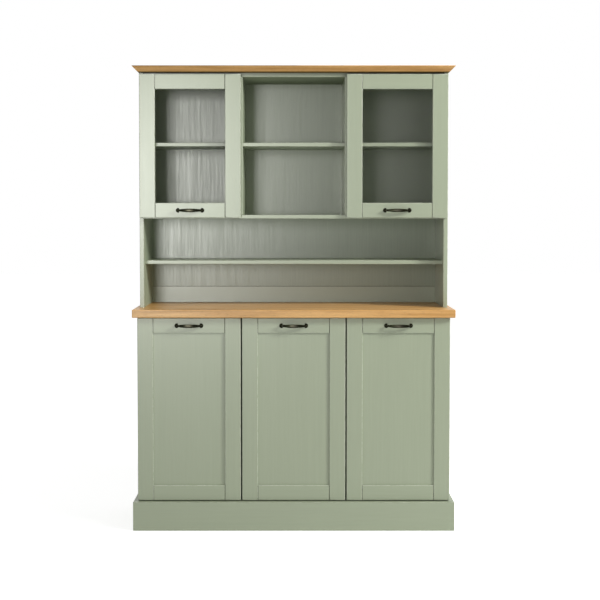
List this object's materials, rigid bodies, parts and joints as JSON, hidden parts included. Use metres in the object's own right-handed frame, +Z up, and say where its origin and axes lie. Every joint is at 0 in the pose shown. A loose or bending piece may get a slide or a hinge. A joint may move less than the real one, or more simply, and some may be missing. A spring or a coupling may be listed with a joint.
{
  "type": "display cabinet",
  "caption": "Country-style display cabinet: a panelled-door base under an oak worktop, with an open niche, a middle bay and glazed cupboards above, crowned by an oak cornice.",
  "frame": {"origin": "on the floor under the middle of the cabinet's width and depth", "axes": "+Z up, -Y towards the doors and the person using them, +X to that person's right"},
  "size_m": [1.36, 0.4326, 1.952],
  "materials": {
    "painted_wood": "satin sage-green paint over brushed vertical grain",
    "carcass_board": "matt sage-green board inside the carcass",
    "painted_back_panel": "matt sage-green panel with vertical grain",
    "oak": "natural oak with a matt oil finish",
    "dark_bronze": "dark antique bronze",
    "hinge_steel": "nickel-plated",
    "clear_glass": "clear polished",
    "bumper_plastic": "translucent soft plastic"
  },
  "bodies": {
    "cabinet": {"plinth_front": "painted_wood", "plinth_returns": "painted_wood", "plinth_rear": "painted_wood", "base_side_left": "painted_wood", "base_side_right": "painted_wood", "hutch_side_left": "painted_wood", "hutch_side_right": "painted_wood", "hutch_dividers": "painted_wood", "hutch_top": "painted_wood", "hutch_floor": "painted_wood", "display_shelves": "painted_wood", "niche_shelf": "painted_wood", "niche_back_rail": "painted_wood", "base_dividers": "carcass_board", "base_floor": "carcass_board", "base_stretchers": "carcass_board", "base_shelves": "carcass_board", "plinth_cleats": "carcass_board", "hutch_back": "painted_back_panel", "base_back": "painted_back_panel", "worktop": "oak", "cornice_front": "oak", "cornice_returns": "oak", "shelf_pins": "hinge_steel", "hinge_arms": "hinge_steel", "hinge_plates": "hinge_steel", "hinge_plate_screws": "hinge_steel", "door_bumpers": "bumper_plastic"},
    "base left door": {"base_left_door_stiles": "painted_wood", "base_left_door_rails": "painted_wood", "base_left_door_panel": "painted_wood", "base_left_door_handle": "dark_bronze", "base_left_door_screws": "hinge_steel", "base_left_door_hinge_cups": "hinge_steel"},
    "base middle door": {"base_middle_door_stiles": "painted_wood", "base_middle_door_rails": "painted_wood", "base_middle_door_panel": "painted_wood", "base_middle_door_handle": "dark_bronze", "base_middle_door_screws": "hinge_steel", "base_middle_door_hinge_cups": "hinge_steel"},
    "base right door": {"base_right_door_stiles": "painted_wood", "base_right_door_rails": "painted_wood", "base_right_door_panel": "painted_wood", "base_right_door_handle": "dark_bronze", "base_right_door_screws": "hinge_steel", "base_right_door_hinge_cups": "hinge_steel"},
    "glazed left door": {"glazed_left_door_stiles": "painted_wood", "glazed_left_door_rails": "painted_wood", "glazed_left_door_glass": "clear_glass", "glazed_left_door_glass_beads": "painted_wood", "glazed_left_door_handle": "dark_bronze", "glazed_left_door_screws": "hinge_steel", "glazed_left_door_hinge_cups": "hinge_steel"},
    "glazed right door": {"glazed_right_door_stiles": "painted_wood", "glazed_right_door_rails": "painted_wood", "glazed_right_door_glass": "clear_glass", "glazed_right_door_glass_beads": "painted_wood", "glazed_right_door_handle": "dark_bronze", "glazed_right_door_screws": "hinge_steel", "glazed_right_door_hinge_cups": "hinge_steel"}
  },
  "joints": [
    {"name": "base_left_door_hinge", "type": "hinge", "parent": "cabinet", "child": "base left door", "pos_m": [-0.6485, -0.18275, 0.509], "axis": [0, 0, -1], "range_deg": [0, 95]},
    {"name": "base_middle_door_hinge", "type": "hinge", "parent": "cabinet", "child": "base middle door", "pos_m": [-0.2095, -0.18275, 0.509], "axis": [0, 0, -1], "range_deg": [0, 95]},
    {"name": "base_right_door_hinge", "type": "hinge", "parent": "cabinet", "child": "base right door", "pos_m": [0.6485, -0.18275, 0.509], "axis": [0, 0, 1], "range_deg": [0, 95]},
    {"name": "glazed_left_door_hinge", "type": "hinge", "parent": "cabinet", "child": "glazed left door", "pos_m": [-0.646, -0.11075, 1.616], "axis": [0, 0, -1], "range_deg": [0, 95]},
    {"name": "glazed_right_door_hinge", "type": "hinge", "parent": "cabinet", "child": "glazed right door", "pos_m": [0.646, -0.11075, 1.616], "axis": [0, 0, 1], "range_deg": [0, 95]}
  ]
}
